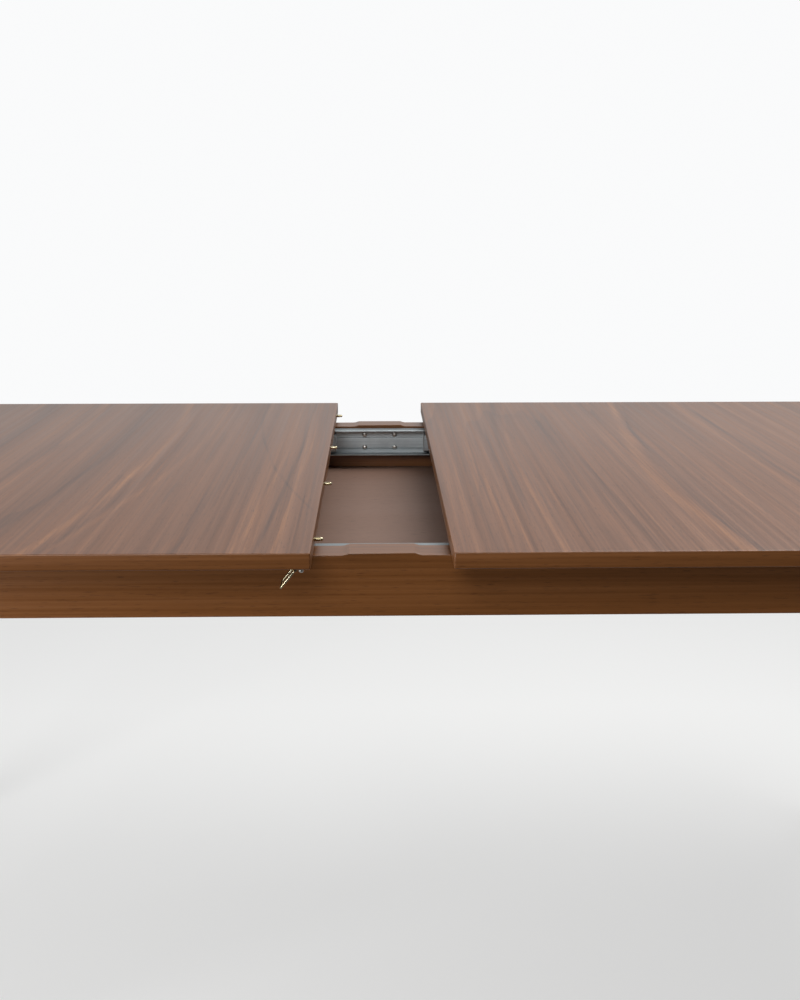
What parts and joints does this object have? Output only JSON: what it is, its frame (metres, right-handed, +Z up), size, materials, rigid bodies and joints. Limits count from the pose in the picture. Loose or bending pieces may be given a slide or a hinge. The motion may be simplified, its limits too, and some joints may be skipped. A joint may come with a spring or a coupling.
{
  "type": "extendable dining table",
  "caption": "Rectangular walnut-veneered dining table whose top halves slide apart on steel ball-bearing slides over a storage compartment, half open, with brass pins and wire bail latches.",
  "frame": {"origin": "floor level at the centre of the table", "axes": "+X is the way the right half slides, -Y is the front, +Z is up; the halves stand 71 mm each from closed, as pictured"},
  "size_m": [1.942, 0.9, 0.76],
  "materials": {
    "walnut_veneer_top": "satin lacquered walnut veneer",
    "walnut": "satin lacquered walnut",
    "tray_veneer": "satin brown veneered panel",
    "beech": "planed, unfinished",
    "zinc_plated_steel": "rolled, zinc plated",
    "brass": "polished",
    "black_nylon": "moulded"
  },
  "bodies": {
    "frame": {"front_apron": "walnut", "front_slide_channel": "zinc_plated_steel", "rear_apron": "walnut", "rear_slide_channel": "zinc_plated_steel", "left_end_apron": "walnut", "right_end_apron": "walnut", "front_left_leg": "walnut", "front_left_corner_block": "beech", "front_left_leg_bolt": "zinc_plated_steel", "front_left_foot_glide": "black_nylon", "front_right_leg": "walnut", "front_right_corner_block": "beech", "front_right_leg_bolt": "zinc_plated_steel", "front_right_foot_glide": "black_nylon", "rear_left_leg": "walnut", "rear_left_corner_block": "beech", "rear_left_leg_bolt": "zinc_plated_steel", "rear_left_foot_glide": "black_nylon", "rear_right_leg": "walnut", "rear_right_corner_block": "beech", "rear_right_leg_bolt": "zinc_plated_steel", "rear_right_foot_glide": "black_nylon", "tray_panel": "tray_veneer", "cross_rail_1": "beech", "cross_rail_2": "beech", "cross_rail_3": "beech", "cross_rail_4": "beech", "leaf_lower_board": "walnut_veneer_top", "leaf_upper_board": "walnut_veneer_top", "leaf_hinge_left": "brass", "leaf_hinge_right": "brass"},
    "left_half": {"left_top": "walnut_veneer_top", "front_left_batten": "beech", "front_left_runner": "zinc_plated_steel", "front_latch_plate": "brass", "rear_left_batten": "beech", "rear_left_runner": "zinc_plated_steel", "rear_latch_plate": "brass", "alignment_pin_1": "brass", "alignment_pin_2": "brass", "alignment_pin_3": "brass", "alignment_pin_4": "brass"},
    "left_cages": {"front_left_ball_cage": "zinc_plated_steel", "rear_left_ball_cage": "zinc_plated_steel"},
    "right_half": {"right_top": "walnut_veneer_top", "front_right_batten": "beech", "front_right_runner": "zinc_plated_steel", "front_latch_keeper": "brass", "rear_right_batten": "beech", "rear_right_runner": "zinc_plated_steel", "rear_latch_keeper": "brass"},
    "right_cages": {"front_right_ball_cage": "zinc_plated_steel", "rear_right_ball_cage": "zinc_plated_steel"},
    "front_bail": {"front_latch_bail": "brass"},
    "rear_bail": {"rear_latch_bail": "brass"}
  },
  "joints": [
    {"name": "left_top_slide", "type": "slide", "parent": "frame", "child": "left_half", "axis": [-1, 0, 0], "range_m": [-0.0707, 0.229]},
    {"name": "left_cage_slide", "type": "slide", "parent": "frame", "child": "left_cages", "axis": [-1, 0, 0], "range_m": [-0.0354, 0.1146]},
    {"name": "right_top_slide", "type": "slide", "parent": "frame", "child": "right_half", "axis": [1, 0, 0], "range_m": [-0.0707, 0.229]},
    {"name": "right_cage_slide", "type": "slide", "parent": "frame", "child": "right_cages", "axis": [1, 0, 0], "range_m": [-0.0354, 0.1146]},
    {"name": "front_bail_hinge", "type": "hinge", "parent": "left_half", "child": "front_bail", "pos_m": [-0.0872, -0.4345, 0.74], "axis": [0, -1, 0], "range_deg": [-50, 126]},
    {"name": "rear_bail_hinge", "type": "hinge", "parent": "left_half", "child": "rear_bail", "pos_m": [-0.0872, 0.4345, 0.74], "axis": [0, -1, 0], "range_deg": [-50, 126]}
  ],
  "couplings": [
    {"joint": "left_cage_slide", "follows": "left_top_slide", "ratio": 0.5},
    {"joint": "right_cage_slide", "follows": "right_top_slide", "ratio": 0.5}
  ]
}
